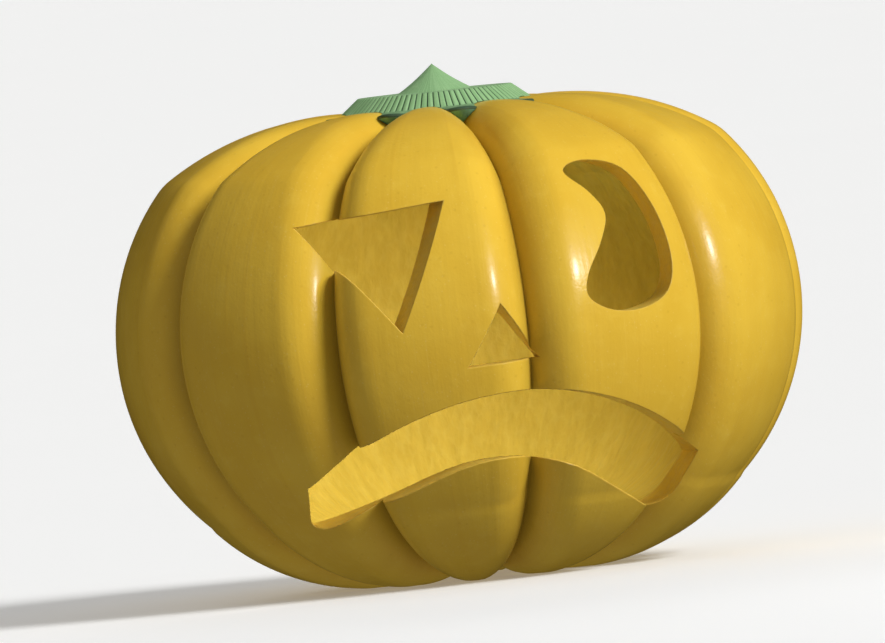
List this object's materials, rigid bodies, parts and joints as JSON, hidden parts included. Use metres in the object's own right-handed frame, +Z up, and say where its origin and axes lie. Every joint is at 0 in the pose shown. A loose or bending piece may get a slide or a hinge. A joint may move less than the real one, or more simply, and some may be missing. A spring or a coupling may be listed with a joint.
{
  "type": "carved pumpkin lantern",
  "caption": "Hollow ten-lobed pumpkin with two eyes, a nose and a frowning mouth cut through its front wall, and a low green stem.",
  "frame": {"origin": "under the middle of the pumpkin, on the plane that it rests on", "axes": "+Z up along the pumpkin's core, the carved face looks towards -Y"},
  "size_m": [0.2998, 0.2974, 0.2238],
  "materials": {
    "skin": "waxy golden yellow rind",
    "stem_green": "dull green stalk"
  },
  "bodies": {
    "root": {"pumpkin_shell": "skin", "stem": "stem_green"}
  },
  "joints": []
}
